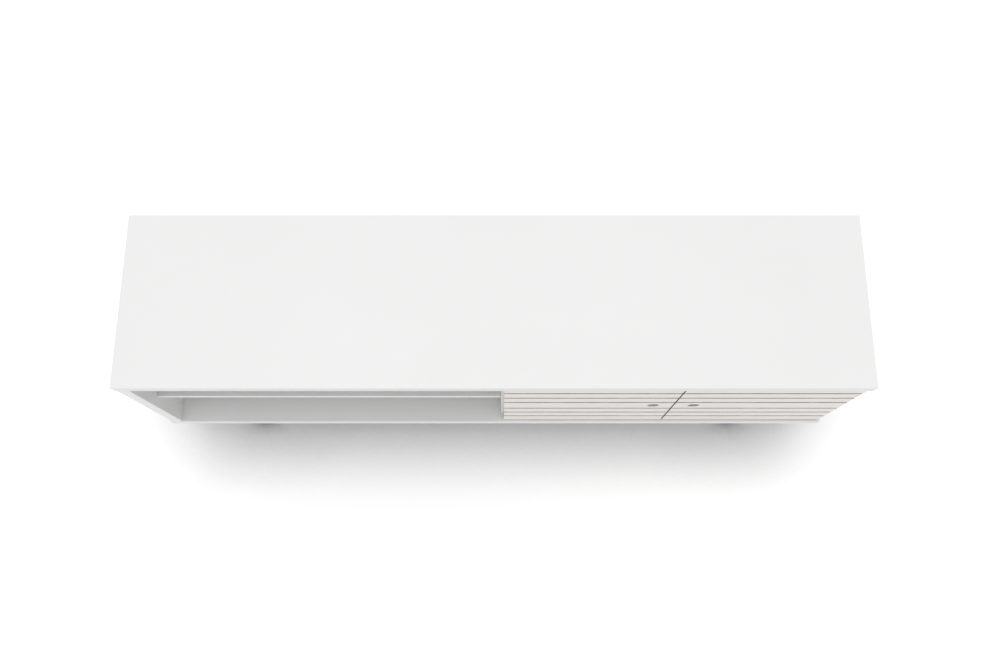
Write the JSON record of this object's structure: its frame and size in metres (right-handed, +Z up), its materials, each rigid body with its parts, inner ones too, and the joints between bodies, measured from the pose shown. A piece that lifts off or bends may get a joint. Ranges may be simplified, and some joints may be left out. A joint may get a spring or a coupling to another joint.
{
  "type": "tv stand",
  "caption": "Long low white TV stand on tapered legs, with an open shelved bay and a cupboard behind slatted hinged doors with finger holes.",
  "frame": {"origin": "centre of the footprint, on the floor under the glides", "axes": "+X along the stand to its right as seen from the front, +Y to the back, +Z up"},
  "size_m": [1.6, 0.388, 0.6],
  "materials": {
    "white_board": "white satin lacquer on board",
    "white_slats": "white lacquer, whitewashed in the grooves",
    "white_back": "white faced hardboard, matt",
    "white_wood": "white painted turned wood",
    "nickel": "nickel plated steel",
    "zinc": "zinc plated steel",
    "white_plastic": "moulded white plastic",
    "grey_felt": "pressed felt"
  },
  "bodies": {
    "carcass": {"top_panel": "white_board", "bottom_panel": "white_board", "left_side_panel": "white_board", "right_side_panel": "white_board", "divider_panel": "white_board", "media_shelf": "white_board", "cupboard_shelf": "white_board", "back_panel_left": "white_back", "back_panel_right": "white_back", "leg_front_left": "white_wood", "leg_plate_front_left": "zinc", "glide_front_left": "grey_felt", "leg_front_right": "white_wood", "leg_plate_front_right": "zinc", "glide_front_right": "grey_felt", "leg_rear_left": "white_wood", "leg_plate_rear_left": "zinc", "glide_rear_left": "grey_felt", "leg_rear_right": "white_wood", "leg_plate_rear_right": "zinc", "glide_rear_right": "grey_felt", "shelf_peg_front_left": "nickel", "shelf_peg_front_right": "nickel", "shelf_peg_rear_left": "nickel", "shelf_peg_rear_right": "nickel", "cable_grommet_left_lower": "white_plastic", "left_door_lower_hinge_plate": "nickel", "left_door_lower_hinge_arm": "nickel", "cable_grommet_left_upper": "white_plastic", "left_door_upper_hinge_plate": "nickel", "left_door_upper_hinge_arm": "nickel", "cable_grommet_right_lower": "white_plastic", "right_door_lower_hinge_plate": "nickel", "right_door_lower_hinge_arm": "nickel", "cable_grommet_right_upper": "white_plastic", "right_door_upper_hinge_plate": "nickel", "right_door_upper_hinge_arm": "nickel", "magnetic_catch": "white_plastic"},
    "left_door": {"left_door": "white_slats", "strike_plate_left": "zinc", "left_door_lower_hinge_cup": "nickel", "left_door_upper_hinge_cup": "nickel"},
    "right_door": {"right_door": "white_slats", "strike_plate_right": "zinc", "right_door_lower_hinge_cup": "nickel", "right_door_upper_hinge_cup": "nickel"},
    "left_lower_hinge_link": {"left_door_lower_hinge_link": "nickel"},
    "left_upper_hinge_link": {"left_door_upper_hinge_link": "nickel"},
    "right_lower_hinge_link": {"right_door_lower_hinge_link": "nickel"},
    "right_upper_hinge_link": {"right_door_upper_hinge_link": "nickel"}
  },
  "joints": [
    {"name": "left_door_swing", "type": "hinge", "parent": "carcass", "child": "left_door", "pos_m": [0.0267, -0.1858, 0.3975], "axis": [0, 0, -1], "range_deg": [0, 100]},
    {"name": "left_lower_link_turn", "type": "hinge", "parent": "carcass", "child": "left_lower_hinge_link", "pos_m": [0.07, -0.1705, 0.285], "axis": [0, 0, 1], "range_deg": [0, 16]},
    {"name": "left_upper_link_turn", "type": "hinge", "parent": "carcass", "child": "left_upper_hinge_link", "pos_m": [0.07, -0.1705, 0.51], "axis": [0, 0, 1], "range_deg": [0, 16]},
    {"name": "right_door_swing", "type": "hinge", "parent": "carcass", "child": "right_door", "pos_m": [0.7903, -0.1865, 0.3975], "axis": [0, 0, 1], "range_deg": [0, 100]},
    {"name": "right_lower_link_turn", "type": "hinge", "parent": "carcass", "child": "right_lower_hinge_link", "pos_m": [0.7303, -0.1687, 0.285], "axis": [0, 0, -1], "range_deg": [0, 12.9]},
    {"name": "right_upper_link_turn", "type": "hinge", "parent": "carcass", "child": "right_upper_hinge_link", "pos_m": [0.7303, -0.1687, 0.51], "axis": [0, 0, -1], "range_deg": [0, 12.9]}
  ],
  "couplings": [
    {"joint": "left_lower_link_turn", "follows": "left_door_swing", "ratio": 0.155},
    {"joint": "left_upper_link_turn", "follows": "left_door_swing", "ratio": 0.155},
    {"joint": "right_lower_link_turn", "follows": "right_door_swing", "ratio": 0.124},
    {"joint": "right_upper_link_turn", "follows": "right_door_swing", "ratio": 0.124}
  ]
}
